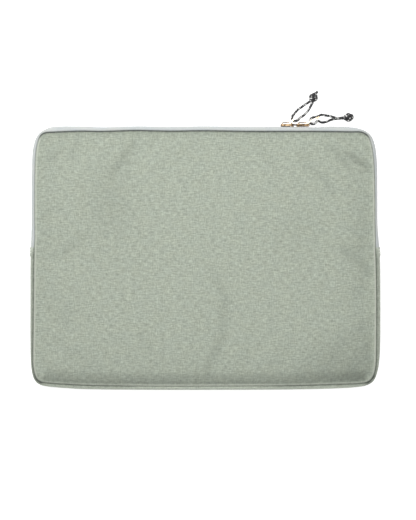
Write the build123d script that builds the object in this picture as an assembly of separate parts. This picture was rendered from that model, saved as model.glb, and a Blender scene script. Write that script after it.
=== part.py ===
"""Padded laptop sleeve with a two-slider zip and knotted cord pulls.

Frame: the sleeve lies on its back panel. +X runs along its width, +Y towards the zipped top edge, +Z up through
its thickness. The origin is the middle of the back panel's outer face. All sizes are in millimetres.
"""

from build123d import *
import math
import os

os.makedirs("parts", exist_ok=True)

# Sleeve: the seam line where the panels meet the gusset
SEAM_HALF_WIDTH_TOP = 166.1
SEAM_HALF_WIDTH_BOTTOM = 168.5
SEAM_HALF_HEIGHT = 126.2
SEAM_CORNER_RADIUS = 19.0
THICKNESS = 26.0

# Panel layers, from the outside in
SHELL = 0.8
FOAM = 4.0
LINING = 0.5
FOAM_INSET = 3.0
LINING_INSET = 1.2

# Gusset: a band that bulges out past the seam
BULGE = 4.0
BAND = 1.0
BAND_EDGE_OUT = 1.2  # how far outside the seam line the band's outer face starts
BAND_ROLL = 6.5  # height over which each edge of the band rolls outwards
FOOT_SPREAD = 1.15  # the band's cut edge is slanted, so it is this much wider than the band is thick
GUSSET_LINING = 0.5
SEWN_GAP = 0.1  # between layers that curve together

# Zip
ZIP_END_Y = 10.0  # where the zip stops on both sides
SPLIT_GAP = 0.3
COIL_GAP = 1.0
COIL_WIDTH = 2.5
COIL_DEPTH = 2.4
COIL_ROUND = 0.8
CHAIN_OUT = BULGE - BAND / 2
MID = THICKNESS / 2

# Binding tape over the seam allowances, inside the sleeve
BINDING_THICK = 1.8
BINDING_WIDE = 6.8
BINDING_INSET = 2.5

# Rows of stitching across the gusset's folded ends
STITCH_ROWS = (4.6, 7.6)
THREAD = 0.6
THREAD_PROUD = 0.3
STITCH_MARGIN = 3.0

# Sliders
SLIDER_HALF = 7.0
PLATE = 1.2
PLATE_OUT = 1.6  # from the chain's middle to the plate's near face
FLANGE_IN = 0.85
FLANGE_Z = 3.3
FLANGE_WIDE = 0.8
BRIDGE_TOP = 5.1
BRIDGE_UNDER = 4.4
BRIDGE_HALF_WIDE = 1.2
SLIDER_X = {"left": 82.0, "right": 96.6}
NOSE = {"left": 1, "right": -1}  # the two noses face each other

# Puller links
PIN_OUT = 3.6
PIN_X = {"left": 1.8, "right": 4.0}  # from the slider's middle
PIN_RADIUS = 0.5
LINK_LENGTH = 14.5
LINK_HALF_WIDE = 2.6
LINK_SLOT_HALF = 1.6
LINK_RADIUS = 0.55
LINK_TIP_BAR = 1.3
LINK_ANGLE = {"left": 45.0, "right": 27.0}

# Cords: from inside the knot, down one leg, through the link's slot and back up the other leg
CORD = 2.4
CORD_ROUTE = {
    "left": [
        (105.6, 156.6, 6.4),
        (100.3, 153.4, 8.0),
        (95.7, 149.7, 9.8),
        (91.6, 147.0, 11.2),
        (89.0, 142.2, 12.6),
        (85.2, 138.4, 13.0),
        (88.9, 134.7, 13.0),
        (92.7, 138.5, 12.2),
        (97.5, 141.1, 10.6),
        (101.5, 145.2, 8.7),
        (104.8, 150.0, 6.5),
        (107.6, 155.6, 4.3),
    ],
    "right": [
        (139.3, 140.1, 5.9),
        (135.0, 139.9, 6.3),
        (130.0, 139.4, 7.3),
        (125.2, 141.5, 8.6),
        (119.4, 140.9, 10.0),
        (114.0, 141.9, 11.4),
        (108.0, 140.0, 12.6),
        (103.2, 137.5, 13.0),
        (105.5, 132.9, 13.0),
        (110.3, 135.3, 12.0),
        (116.6, 135.6, 9.8),
        (121.9, 136.6, 7.4),
        (126.8, 138.9, 5.1),
        (132.6, 139.5, 3.6),
        (139.3, 139.4, 3.2),
    ],
}
ROUND_SHARE = 0.45
KNOT_RADIUS = 4.6
KNOT_AT = {"left": (107.9, 159.7, 4.7), "right": (143.0, 139.7, 4.7)}
TAIL_LENGTH = 6.6
TAIL_ANGLE = {"left": (40.0, 75.0), "right": (-20.0, 25.0)}


def save(name, shape):
    """Write one sub-part."""
    shape.label = name
    export_step(shape, f"parts/{name}.step")


# ---------------------------------------------------------------- outlines and bands


def seam_outline(inset=0.0):
    """The panel's outline at the seam, drawn in by an inset."""
    top, bottom, half = SEAM_HALF_WIDTH_TOP, SEAM_HALF_WIDTH_BOTTOM, SEAM_HALF_HEIGHT
    face = make_face(Polyline((-bottom, -half), (bottom, -half), (top, half), (-top, half), close=True))
    face = fillet(face.vertices(), SEAM_CORNER_RADIUS)
    return offset(face, -inset) if inset else face


def seam_half_width(y):
    """Half the panel's width at a height y on its straight sides."""
    share = (y + SEAM_HALF_HEIGHT) / (2 * SEAM_HALF_HEIGHT)
    return SEAM_HALF_WIDTH_BOTTOM + share * (SEAM_HALF_WIDTH_TOP - SEAM_HALF_WIDTH_BOTTOM)


def block(y_low, y_high, z_low=-1.0, z_high=THICKNESS + 1.0):
    """A box wider than the sleeve, between two heights."""
    size = (3 * SEAM_HALF_WIDTH_BOTTOM, y_high - y_low, z_high - z_low)
    return Pos(0, (y_low + y_high) / 2, (z_low + z_high) / 2) * Box(*size)


def above_hinge():
    """The half of the sleeve that lifts when the mouth opens."""
    return block(ZIP_END_Y + SPLIT_GAP / 2, 2 * SEAM_HALF_HEIGHT)


def below_hinge():
    """The half that stays."""
    return block(-2 * SEAM_HALF_HEIGHT, ZIP_END_Y - SPLIT_GAP / 2)


def layer(inset, z_low, thickness):
    """One flat layer of a panel."""
    return Pos(0, 0, z_low) * extrude(seam_outline(inset), thickness)


def band_section(out=BULGE, thick=BAND, foot=BAND_EDGE_OUT):
    """Cross-section of the gusset band: outwards is local x, the sleeve's thickness is local y."""
    inner = out - thick
    inner_foot = foot - FOOT_SPREAD * thick
    low, high = BAND_ROLL, THICKNESS - BAND_ROLL
    lines = [
        Line((out, low), (out, high)),
        TangentArc((out, high), (foot, THICKNESS), tangent=(0, 1)),
        Line((foot, THICKNESS), (inner_foot, THICKNESS)),
        TangentArc((inner, high), (inner_foot, THICKNESS), tangent=(0, 1)),
        Line((inner, high), (inner, low)),
        TangentArc((inner, low), (inner_foot, 0), tangent=(0, -1)),
        Line((inner_foot, 0), (foot, 0)),
        TangentArc((out, low), (foot, 0), tangent=(0, -1)),
    ]
    return make_face(lines)


def section_between(section, z_low, z_high):
    """The stretch of a cross-section between two levels of the thickness."""
    tall = z_high - z_low
    return section & (Pos(0, (z_low + z_high) / 2) * Rectangle(8 * BULGE, tall))


def swept_ring(section):
    """A cross-section swept all the way round the seam line."""
    top, bottom, half = SEAM_HALF_WIDTH_TOP, SEAM_HALF_WIDTH_BOTTOM, SEAM_HALF_HEIGHT
    path = FilletPolyline((0, half), (-top, half), (-bottom, -half), (0, -half), radius=SEAM_CORNER_RADIUS)
    start = Plane(origin=(0, half, 0), x_dir=(0, 1, 0), z_dir=(1, 0, 0))
    left = sweep(start * section, path=path)
    return left + mirror(left, about=Plane.YZ)


# ---------------------------------------------------------------- panels


def make_back_panel():
    """Shell, foam and lining of the back panel."""
    save("back_shell", layer(0, 0, SHELL))
    save("back_foam", layer(FOAM_INSET, SHELL, FOAM))
    save("back_lining", layer(LINING_INSET, SHELL + FOAM, LINING))


def make_front_panel():
    """Shell, foam and lining of the front panel, each in a fixed lower half and a lifting upper half."""
    layers = {
        "front_shell": layer(0, THICKNESS - SHELL, SHELL),
        "front_foam": layer(FOAM_INSET, THICKNESS - SHELL - FOAM, FOAM),
        "front_lining": layer(LINING_INSET, THICKNESS - SHELL - FOAM - LINING, LINING),
    }
    for name, whole in layers.items():
        save(f"{name}_upper", whole & above_hinge())
        save(f"{name}_lower", whole & below_hinge())


# ---------------------------------------------------------------- gusset and zip


def make_gusset():
    """The canvas band round the bottom and lower sides, and its lining."""
    save("gusset_band", swept_ring(band_section()) & below_hinge())
    inside = band_section(
        out=BULGE - BAND - SEWN_GAP, thick=GUSSET_LINING, foot=BAND_EDGE_OUT - FOOT_SPREAD * BAND - SEWN_GAP
    )
    panel = SHELL + FOAM + LINING
    lining = section_between(inside, panel, THICKNESS - panel)
    save("gusset_lining", swept_ring(lining) & below_hinge())


def make_zip():
    """Two tapes and the two halves of the coil, which run over the top and down to the zip's ends."""
    tape_edge = MID - COIL_GAP / 2 - COIL_WIDTH
    coil_mid = COIL_GAP / 2 + COIL_WIDTH / 2
    coil = RectangleRounded(COIL_DEPTH, COIL_WIDTH, COIL_ROUND)
    above = block(ZIP_END_Y - SPLIT_GAP / 2, 2 * SEAM_HALF_HEIGHT)
    back_tape = section_between(band_section(), 0, tape_edge)
    front_tape = section_between(band_section(), THICKNESS - tape_edge, THICKNESS)
    save("zip_tape_back", swept_ring(back_tape) & above)
    save("zip_tape_front", swept_ring(front_tape) & above_hinge())
    save("zip_coil_back", swept_ring(Pos(CHAIN_OUT, MID - coil_mid) * coil) & above)
    save("zip_coil_front", swept_ring(Pos(CHAIN_OUT, MID + coil_mid) * coil) & above_hinge())


def make_binding():
    """Tape bound over the seam allowances of the back and front seams."""
    strip = RectangleRounded(BINDING_THICK, BINDING_WIDE, BINDING_THICK / 3)
    low = SHELL + FOAM + LINING + BINDING_WIDE / 2
    front = swept_ring(Pos(-BINDING_INSET, THICKNESS - low) * strip)
    save("binding_back", swept_ring(Pos(-BINDING_INSET, low) * strip))
    save("binding_front_upper", front & above_hinge())
    save("binding_front_lower", front & below_hinge())


def make_end_stitching():
    """Two rows of thread across the gusset's folded end, on each side."""
    out = BULGE + SEWN_GAP + THREAD_PROUD
    skin = band_section(out=out, thick=THREAD_PROUD, foot=BAND_EDGE_OUT + SEWN_GAP + FOOT_SPREAD * THREAD_PROUD)
    row = section_between(skin, STITCH_MARGIN, THICKNESS - STITCH_MARGIN)
    rows = Part()
    for side in (-1, 1):
        for y in STITCH_ROWS:
            at = Plane(origin=(side * seam_half_width(y), y, 0), x_dir=(side, 0, 0), z_dir=(0, -side, 0))
            rows += extrude(at * row, THREAD)
    save("end_stitching", rows)


# ---------------------------------------------------------------- sliders, links, cords


def slider_plate(near):
    """One plate of a slider, wide at the nose, with its near face at a distance from the chain."""
    half = [(-7.0, 3.6), (-1.0, 4.2), (3.8, 5.2), (7.0, 3.4)]
    outline = [(x, z) for x, z in half] + [(x, -z) for x, z in reversed(half)]
    face = fillet(make_face(Polyline(*outline, close=True)).vertices(), 1.2)
    flat = Plane(origin=(0, near, 0), x_dir=(1, 0, 0), z_dir=(0, 1, 0))
    return extrude(flat * face, PLATE)


def slider_body():
    """Two plates joined by a thin post between the coil halves, side flanges, and a bridge for the puller."""
    body = slider_plate(PLATE_OUT) + slider_plate(-PLATE_OUT - PLATE)
    body += Pos(4.5, 0, 0) * Box(2.6, 2 * PLATE_OUT, 0.6)
    flange_high = PLATE_OUT - FLANGE_IN
    for out in (-1, 1):
        for side in (-1, 1):
            at = (-1.8, out * (FLANGE_IN + flange_high / 2), side * (FLANGE_Z + FLANGE_WIDE / 2))
            body += Pos(*at) * Box(9.6, flange_high, FLANGE_WIDE)
    foot = PLATE_OUT + PLATE
    arch = [(-6.2, foot), (-5.0, BRIDGE_TOP), (3.6, BRIDGE_TOP), (4.8, foot)]
    hole = [(-5.2, foot - 0.4), (-4.6, BRIDGE_UNDER), (2.9, BRIDGE_UNDER), (3.5, foot - 0.4)]
    rise = make_face(Polyline(*arch, close=True))
    rise = fillet(rise.vertices().sort_by(Axis.Y)[-2:], 0.9)
    bridge = extrude(rise, BRIDGE_HALF_WIDE, both=True)
    gap = extrude(make_face(Polyline(*hole, close=True)), 2 * BRIDGE_HALF_WIDE, both=True)
    gap -= Pos(0, foot - 5.0, 0) * Box(40, 10, 40)
    return body + (bridge - gap)


def pin_place(side):
    """Where a puller's pin sits under its slider's bridge."""
    return (SLIDER_X[side] + PIN_X[side], SEAM_HALF_HEIGHT + CHAIN_OUT + PIN_OUT, MID)


def puller_link():
    """A long flat link: a round pin at the slider, two rails and a bar at the tip."""
    pin = Cylinder(PIN_RADIUS, 2 * LINK_HALF_WIDE)
    profile = Pos(LINK_LENGTH / 2, 0) * SlotCenterToCenter(LINK_LENGTH - 2 * LINK_RADIUS, 2 * LINK_RADIUS)
    rails = extrude(Pos(-LINK_RADIUS, 0) * profile, LINK_HALF_WIDE, both=True)
    slot_end = LINK_LENGTH - LINK_RADIUS - LINK_TIP_BAR
    slot_start = -2 * LINK_RADIUS
    slot = Pos((slot_start + slot_end) / 2, 0, 0) * Box(slot_end - slot_start, 4, 2 * LINK_SLOT_HALF)
    return rails - slot + pin


def make_slider_and_link(side):
    """A slider on the closed chain and the link that hangs in its bridge."""
    place = Pos(SLIDER_X[side], SEAM_HALF_HEIGHT + CHAIN_OUT, MID)
    body = slider_body() if NOSE[side] > 0 else mirror(slider_body(), about=Plane.YZ)
    save(f"slider_{side}", place * body)
    save(f"puller_{side}", Pos(*pin_place(side)) * Rot(0, 0, LINK_ANGLE[side]) * puller_link())


def arc_radii(points):
    """One arc radius for each inner point of a cord's route."""
    radii = []
    for before, here, after in zip(points, points[1:], points[2:]):
        run_in = Vector(*here) - Vector(*before)
        run_out = Vector(*after) - Vector(*here)
        half_turn = math.radians(run_in.get_angle(run_out)) / 2
        radii.append(ROUND_SHARE * min(run_in.length, run_out.length) / math.tan(half_turn))
    return radii


def make_cord(side):
    """The cord of one pull, as a tube along its route."""
    points = CORD_ROUTE[side]
    radii = arc_radii(points)
    path = FilletPolyline(*points, radius=radii)
    start = Plane(origin=path @ 0, z_dir=path % 0)
    tube = sweep(start * Circle(CORD / 2), path=path)
    expected = path.length * math.pi * (CORD / 2) ** 2
    print(f"cord_{side}: length {path.length:.1f}, volume {tube.volume:.1f} of {expected:.1f}")
    print("  radii " + " ".join(f"{radius:.1f}" for radius in radii))
    save(f"cord_{side}", tube)


def make_knot(side):
    """The overhand knot that joins both legs of a cord, with its two cut tails."""
    knot = Pos(*KNOT_AT[side]) * Sphere(KNOT_RADIUS)
    for angle in TAIL_ANGLE[side]:
        tail = Pos(TAIL_LENGTH / 2, 0, 0) * Rot(0, 90, 0) * Cylinder(CORD / 2, TAIL_LENGTH)
        knot += Pos(*KNOT_AT[side]) * Rot(0, 0, angle) * tail
    save(f"knot_{side}", knot)


make_back_panel()
make_front_panel()
make_gusset()
make_zip()
make_binding()
make_end_stitching()
for pull in ("left", "right"):
    make_slider_and_link(pull)
    make_cord(pull)
    make_knot(pull)
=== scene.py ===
"""Looks of the padded laptop sleeve: heathered canvas, zip, brass sliders and knotted cord pulls.

Lengths named in this file are in millimetres; objects are made in metres, in the frame's axes: +X along the
width, +Y towards the zipped top edge, +Z up through the thickness.
"""

import math

import bmesh
import bpy
import numpy as np
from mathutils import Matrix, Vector
from mathutils.kdtree import KDTree


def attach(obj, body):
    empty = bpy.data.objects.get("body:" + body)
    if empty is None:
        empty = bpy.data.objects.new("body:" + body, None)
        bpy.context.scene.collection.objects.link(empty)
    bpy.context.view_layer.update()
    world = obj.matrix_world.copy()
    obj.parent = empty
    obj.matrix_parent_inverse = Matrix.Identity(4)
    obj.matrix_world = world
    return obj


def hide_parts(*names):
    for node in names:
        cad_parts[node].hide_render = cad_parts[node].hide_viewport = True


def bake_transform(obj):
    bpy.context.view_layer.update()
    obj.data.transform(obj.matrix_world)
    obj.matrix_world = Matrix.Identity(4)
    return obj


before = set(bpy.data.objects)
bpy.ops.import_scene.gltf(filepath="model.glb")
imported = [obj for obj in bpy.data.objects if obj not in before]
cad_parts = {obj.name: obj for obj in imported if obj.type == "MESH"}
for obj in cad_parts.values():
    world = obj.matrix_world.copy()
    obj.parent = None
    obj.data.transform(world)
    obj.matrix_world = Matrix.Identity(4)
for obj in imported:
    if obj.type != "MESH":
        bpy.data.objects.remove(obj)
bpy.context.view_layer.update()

MM = 0.001
PI = math.pi

# The seam where a panel meets the gusset, clockwise from the middle of the top edge:
# x, y, and how far the gusset stands out past the seam there
SEAM = [
    (0, 124.9, 5.3), (42, 124.3, 5.4), (84, 124.2, 5.5), (106, 124.2, 4.8), (124, 124.1, 5.8),
    (144, 123.8, 5.4), (152, 123.8, 4.0), (157.0, 122.2, 3.6), (160.6, 119.0, 3.8),
    (163.0, 113.6, 4.1), (165.0, 104, 4.0),
    (166.5, 88, 3.5), (167.1, 60, 3.1), (167.2, 36, 3.1), (167.6, 22, 3.5), (167.7, 9, 4.6),
    (168.4, -8, 4.8), (168.8, -42, 4.6), (168.7, -80, 4.6), (168.4, -100, 4.0), (167.2, -111.5, 3.3),
    (164.6, -118.4, 3.4), (160.4, -122.0, 3.4), (152, -123.6, 3.9), (130, -124.5, 4.6), (84, -125.8, 4.4),
    (20, -126.3, 4.2), (-50, -126.4, 4.1), (-112, -125.6, 4.4), (-140, -124.2, 4.4), (-155, -123.2, 4.0),
    (-162.4, -121.6, 3.6), (-166.4, -117.6, 3.1), (-168.6, -109, 2.8), (-169.1, -96, 3.1), (-168.8, -70, 3.7),
    (-168.4, -35, 4.1), (-168.2, -7, 4.3), (-167.7, 9, 4.4), (-167.1, 22, 4.5), (-167.3, 42, 3.9),
    (-167.2, 75, 3.8), (-166.4, 100, 4.2), (-164.6, 112, 4.3), (-161.9, 119.2, 3.9), (-157.2, 122.7, 4.3),
    (-148, 123.5, 6.3), (-122, 124.5, 5.6), (-101, 124.2, 5.1), (-69, 125.1, 5.1), (-34, 124.5, 5.3),
]
OUTLINE_STEPS = 24  # points of the curve between two points of the seam
SAMPLE_STEP = 1.3  # distance between two samples of the seam
FRONT_Z, MID_Z = 26.0, 13.0
SEAM_Z, SEAM_SLUMP = 23.8, 1.6  # the front seam's height, and how much lower it is along the bottom edge
BACK_SEAM_Z = 2.1
PANEL_WIDTH, PANEL_HEIGHT, PANEL_STEP, LINING_STEP = 340.0, 255.0, 2.6, 6.0
HIGHEST_Z = FRONT_Z + 1.8
FRONT_INNER_Z, BACK_INNER_Z = FRONT_Z - 4.9, 4.8
PAD_LEAST = 1.2  # thickness of a pad beside its seam
LINING_Z = {"front": (20.98, 20.55), "back": (5.35, 4.9)}  # each lining's two faces
BINDING_Z = {"front": 17.3, "back": 8.7}
BINDING_OUT, BINDING_THICK, BINDING_WIDE = -2.6, 1.6, 6.4
TAPE_ANGLE = 1.27  # from a tape's seam to its edge
FOLD_PUFF, ROW_DEPTH, ROW_WIDTH = 0.9, 0.45, 0.8  # the gusset's folded ends and their rows of stitches
SEAM_SAMPLES = 9000  # for distances from the seam
SIM_STEP, SIM_FRAMES = 5.0, 24  # the wrinkle simulation's grid and length
SIM_SLACK, SIM_CAP, SIM_DOME = 0.012, 0.9, 60  # share of extra cloth, highest wrinkle, smoothing rounds
ZIP_END_Y = 10.0
COIL_INSET, COIL_OFF, COIL_TALL, COIL_DEEP = 0.45, 1.35, 1.5, 0.62  # the loops' place and half-sizes
COIL_PITCH, COIL_STEPS, COIL_THREAD = 1.35, 10, 0.36  # length and steps of a turn, and the filament's radius
STITCH_ROWS_Y = (4.6, 7.6)
STITCH_LENGTH, STITCH_GAP, STITCH_THREAD = 2.3, 0.5, 0.33
LEFT_STOP_X, RIGHT_STOP_X = -133.0, 89.6  # the mouth opens between these ends of the sliders' noses
MOUTH_X = 0.5 * (LEFT_STOP_X + RIGHT_STOP_X)

# Cords: the control points of each cord's two legs, in metres
CORD_RADIUS = 1.27  # at the tops of the strands
CORD_STEP = 0.00028  # between two rings of a cord, in metres
CORD_ROUTE = {
    "left": [
        (0.1056, 0.1566, 0.0064), (0.1003, 0.1534, 0.0080), (0.0957, 0.1497, 0.0098),
        (0.0916, 0.1470, 0.0112), (0.0890, 0.1434, 0.0124), (0.0866, 0.1409, 0.0128),
        (0.0860, 0.1376, 0.0130), (0.0886, 0.1352, 0.0130), (0.0922, 0.1366, 0.0126),
        (0.0941, 0.1393, 0.0119), (0.0975, 0.1411, 0.0106), (0.1015, 0.1452, 0.0087),
        (0.1048, 0.1500, 0.0065), (0.1076, 0.1556, 0.0043),
    ],
    "right": [
        (0.1393, 0.1403, 0.0059), (0.1350, 0.1395, 0.0063), (0.1300, 0.1394, 0.0073),
        (0.1252, 0.1412, 0.0086), (0.1198, 0.1416, 0.0100), (0.1154, 0.1426, 0.0112),
        (0.1112, 0.1399, 0.0122), (0.1072, 0.1396, 0.0128), (0.1034, 0.1372, 0.0130),
        (0.1046, 0.1330, 0.0130), (0.1090, 0.1326, 0.0127), (0.1118, 0.1368, 0.0119),
        (0.1160, 0.1342, 0.0100), (0.1212, 0.1357, 0.0076), (0.1268, 0.1384, 0.0051),
        (0.1326, 0.1391, 0.0036), (0.1393, 0.1396, 0.0032),
    ],
}
KNOT_AT = {"left": (108.5, 160.6, 4.9), "right": (143.9, 140.4, 4.9)}
KNOT_TURN = {"left": 56.0, "right": 2.0}  # degrees, the way each pull points
KNOT_RADIUS, KNOT_SWING, KNOT_STRAND = 2.4, 1.15, 1.45  # the lobes' middle radius, their reach, the strand
KNOT_TAIL = {"left": 7.0, "right": 4.4}
BRAID_CELLS, BRAID_TURN, BRAID_LENGTH = 5, 7.5, 1.7  # strands, distance round the cord, length of a crossing


# ---- camera and light


def show(thing):
    """Put an object in the scene."""
    bpy.context.scene.collection.objects.link(thing)


def make_camera():
    """Straight down on the sleeve, with a long lens, as in a catalogue picture."""
    data = bpy.data.cameras.new("camera")
    data.lens = 85.0
    data.sensor_width = 36.0
    data.clip_end = 20.0
    camera = bpy.data.objects.new("camera", data)
    camera.location = (0.0030, -0.0020, 1.23)
    show(camera)
    bpy.context.scene.camera = camera


def make_area_light(name, place, aim, size, power):
    """A square soft box that faces a point."""
    data = bpy.data.lights.new(name, "AREA")
    data.size = size
    data.energy = power
    light = bpy.data.objects.new(name, data)
    light.location = place
    light.visible_camera = False
    light.rotation_mode = "QUATERNION"
    light.rotation_quaternion = (Vector(aim) - Vector(place)).to_track_quat("-Z", "Y")
    show(light)


def make_floor():
    """White paper that glows a little, so that it stays white beside the sleeve."""
    half = 3.0
    mesh = bpy.data.meshes.new("floor")
    corners = [(-half, -half, 0), (half, -half, 0), (half, half, 0), (-half, half, 0)]
    mesh.from_pydata(corners, [], [(0, 1, 2, 3)])
    floor = bpy.data.objects.new("floor", mesh)
    floor.location.z = -0.0004
    material = bpy.data.materials.new("floor_paper")
    material.use_nodes = True
    shader = material.node_tree.nodes["Principled BSDF"]
    shader.inputs["Base Color"].default_value = (0.75, 0.75, 0.75, 1.0)
    shader.inputs["Roughness"].default_value = 0.9
    shader.inputs["Specular IOR Level"].default_value = 0.1
    shader.inputs["Emission Color"].default_value = (1.0, 1.0, 1.0, 1.0)
    shader.inputs["Emission Strength"].default_value = 0.5
    mesh.materials.append(material)
    show(floor)


def make_studio():
    """An even white fill, a soft key overhead and a raking light from beyond the top left."""
    scene = bpy.context.scene
    scene.view_settings.view_transform = "Standard"
    world = bpy.data.worlds.new("studio")
    world.use_nodes = True
    background = world.node_tree.nodes["Background"]
    background.inputs["Color"].default_value = (1.0, 1.0, 1.0, 1.0)
    background.inputs["Strength"].default_value = 0.80
    scene.world = world
    make_area_light("key", place=(0.0, 0.10, 0.70), aim=(0.0, 0.08, 0.0), size=0.35, power=3.3)
    make_area_light("rake", place=(-0.45, 0.85, 0.72), aim=(0.0, 0.0, 0.0), size=0.5, power=7.0)
    make_floor()


# ---- mesh helpers


def smoothstep(low, high, value):
    """0 below low, 1 above high, smooth between."""
    t = np.clip((value - low) / (high - low), 0.0, 1.0)
    return t * t * (3 - 2 * t)


def path_lengths(line):
    """Distance along a line at each of its points."""
    steps = np.linalg.norm(np.diff(line, axis=0), axis=1)
    return np.concatenate([[0], np.cumsum(steps)])


def add_object(name, mesh, material, body=None):
    """A smooth object with flat, sharp-edged end caps, which rides on a body if one is given."""
    caps = [face for face in mesh.polygons if len(face.vertices) > 4]
    cap_edges = {key for face in caps for key in face.edge_keys}
    sharp = [edge.use_edge_sharp or edge.key in cap_edges for edge in mesh.edges]
    mesh.polygons.foreach_set("use_smooth", [len(face.vertices) <= 4 for face in mesh.polygons])
    mesh.edges.foreach_set("use_edge_sharp", sharp)
    mesh.materials.append(material)
    piece = bpy.data.objects.new(name, mesh)
    show(piece)
    if body:
        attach(piece, body)
    return piece


def new_mesh(name, points, faces, face_uv, marks=None):
    """A mesh from points in millimetres, with a UV corner for each face corner and marks at each point."""
    mesh = bpy.data.meshes.new(name)
    mesh.from_pydata((np.asarray(points) * MM).tolist(), [], faces)
    layer = mesh.uv_layers.new(name="cloth")
    layer.data.foreach_set("uv", (np.asarray(face_uv) * MM).ravel())
    for mark, values in (marks or {}).items():
        attribute = mesh.attributes.new(mark, "FLOAT", "POINT")
        attribute.data.foreach_set("value", np.asarray(values, np.float32).ravel())
    mesh.update()
    return mesh


def merged(name, meshes):
    """One mesh made of several."""
    whole = bmesh.new()
    for mesh in meshes:
        whole.from_mesh(mesh)
        bpy.data.meshes.remove(mesh)
    result = bpy.data.meshes.new(name)
    whole.to_mesh(result)
    whole.free()
    return result


def loft(name, rings, uv_u, uv_v, marks=None):
    """A capped tube through cross-sections. rings is (along, around, 3); uv_u runs along, uv_v around."""
    along, around, _ = rings.shape
    faces, face_uv = [], []
    for i in range(along - 1):
        u, next_u = uv_u[i], uv_u[i + 1]
        for j in range(around):
            a, b = i * around + j, i * around + (j + 1) % around
            faces.append((a, a + around, b + around, b))
            v, next_v = uv_v[j], uv_v[j + 1]
            face_uv += [(u, v), (next_u, v), (next_u, next_v), (u, next_v)]
    faces.append(tuple(range(around - 1, -1, -1)))
    faces.append(tuple((along - 1) * around + j for j in range(around)))
    face_uv += [(uv_u[0], uv_v[j]) for j in range(around - 1, -1, -1)]
    face_uv += [(uv_u[along - 1], uv_v[j]) for j in range(around)]
    return new_mesh(name, rings.reshape(-1, 3), faces, face_uv, marks)


# ---- the seam's outline


def seam_curve():
    """The curve through the points of the seam, with the gusset's width as a third value."""
    rows = np.array(SEAM, float)
    t = np.linspace(0, 1, OUTLINE_STEPS, endpoint=False)[:, None]
    dense = []
    for i in range(len(rows)):
        a, b, c, d = (rows[(i + k) % len(rows)] for k in (-1, 0, 1, 2))
        square = (2 * a - 5 * b + 4 * c - d) * t**2
        cube = (3 * b - a - 3 * c + d) * t**3
        dense.append(0.5 * (2 * b + (c - a) * t + square + cube))
    return np.concatenate(dense + [dense[0][:1]])


def trace_seam():
    """Evenly spaced samples of the seam: places, outward normals, gusset width and distance along."""
    dense = seam_curve()
    along = path_lengths(dense[:, :2])
    total = along[-1]
    number = int(round(total / SAMPLE_STEP))
    at = np.linspace(0, total, number, endpoint=False)
    place = np.stack([np.interp(at, along, dense[:, k]) for k in range(3)], axis=1)
    tangent = np.roll(place[:, :2], -1, axis=0) - np.roll(place[:, :2], 1, axis=0)
    tangent = sum(np.roll(tangent, k, axis=0) for k in (-2, -1, 0, 1, 2))
    tangent /= np.linalg.norm(tangent, axis=1)[:, None]
    normal = np.stack([-tangent[:, 1], tangent[:, 0]], axis=1)
    return {"at": place[:, :2], "normal": normal, "bulge": place[:, 2], "along": at, "total": total}


OUTLINE = trace_seam()


def seam_height(y):
    """Height of the front seam, which sits lower along the bottom edge."""
    return SEAM_Z - SEAM_SLUMP * smoothstep(100.0, 118.0, -y)


def seam_shade(north, x, y):
    """How deep the seam's painted shade is, how strong the painted highlight on the panel's rolled rim is and
    how far the shade reaches outwards.

    north is the y part of the seam's outward normal: 1 on the top edge, 0 on the sides, -1 along the bottom.
    The seam lies open in the middle of the bottom edge, where its shade is faint.
    """
    top = smoothstep(0.25, 0.8, north)
    bottom = smoothstep(0.9, 0.995, -north)
    corner = smoothstep(0.15, 0.5, -north) * (1 - bottom)
    low_side = (1 - smoothstep(2.0, 16.0, y)) * (1 - bottom) * (1 - corner)
    high_side = smoothstep(2.0, 16.0, y) * (1 - top)
    calm = 1 - smoothstep(45.0, 90.0, np.abs(x + 5.0))
    depth = 0.95 * top + (0.52 - 0.40 * calm) * bottom + 0.95 * corner + 0.58 * low_side + 0.06 * high_side
    # rim is the strength of the painted highlight on the panel's rolled rim
    rim = (0.45 + 0.30 * calm) * bottom + 0.45 * corner + 1.0 * low_side + 0.75 * high_side
    wide = 1.1 * top + 1.7 * bottom + 2.2 * corner + 2.8 * low_side + 1.0 * high_side
    return depth, rim, wide


def stretch(start, end):
    """Sample numbers along the seam from one distance to another, clockwise, past the start if need be."""
    number = len(OUTLINE["along"])
    step = OUTLINE["total"] / number
    first, last = int(round(start / step)), int(round(end / step))
    return np.arange(first, last + 1) % number


def sample_where(x=None, y=None, side=1):
    """The seam's sample with that x on the top edge, or with that y on one side."""
    at = OUTLINE["at"]
    if x is not None:
        return int(np.argmin(np.abs(at[:, 0] - x) + 1000 * (at[:, 1] < 60)))
    return int(np.argmin(np.abs(at[:, 1] - y) + 1000 * (np.sign(at[:, 0]) != side)))


RIGHT_END = OUTLINE["along"][sample_where(y=ZIP_END_Y, side=1)]
LEFT_END = OUTLINE["along"][sample_where(y=ZIP_END_Y, side=-1)]
MOUTH_MIDDLE = OUTLINE["along"][sample_where(x=MOUTH_X)]


def swept(indices, section):
    """Rings of a cross-section swept along the seam. section gives (out, up) rows for a sample number."""
    rings = []
    for i in indices:
        profile = section(i)
        at, normal = OUTLINE["at"][i], OUTLINE["normal"][i]
        flat = at[None, :] + profile[:, :1] * normal[None, :]
        rings.append(np.column_stack([flat, profile[:, 1]]))
    return np.array(rings)


def around_lengths(profile):
    """Distance round a closed cross-section, with the closing side."""
    steps = np.linalg.norm(np.roll(profile, -1, axis=0) - profile, axis=1)
    return np.concatenate([[0], np.cumsum(steps)])


def seam_crease(indices, section):
    """The shade in the seam for each point of each ring of a sweep."""
    painted_shade = []
    for i in indices:
        x, y = OUTLINE["at"][i]
        depth, _, wide = seam_shade(OUTLINE["normal"][i][1], x, y)
        away = np.linalg.norm(section(i) - np.array([0.0, seam_height(y)]), axis=1)
        # painted shade, deepest at the seam and fading outwards
        painted_shade.append(depth * np.exp(-((away / wide) ** 2)))
    return np.array(painted_shade)


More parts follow.
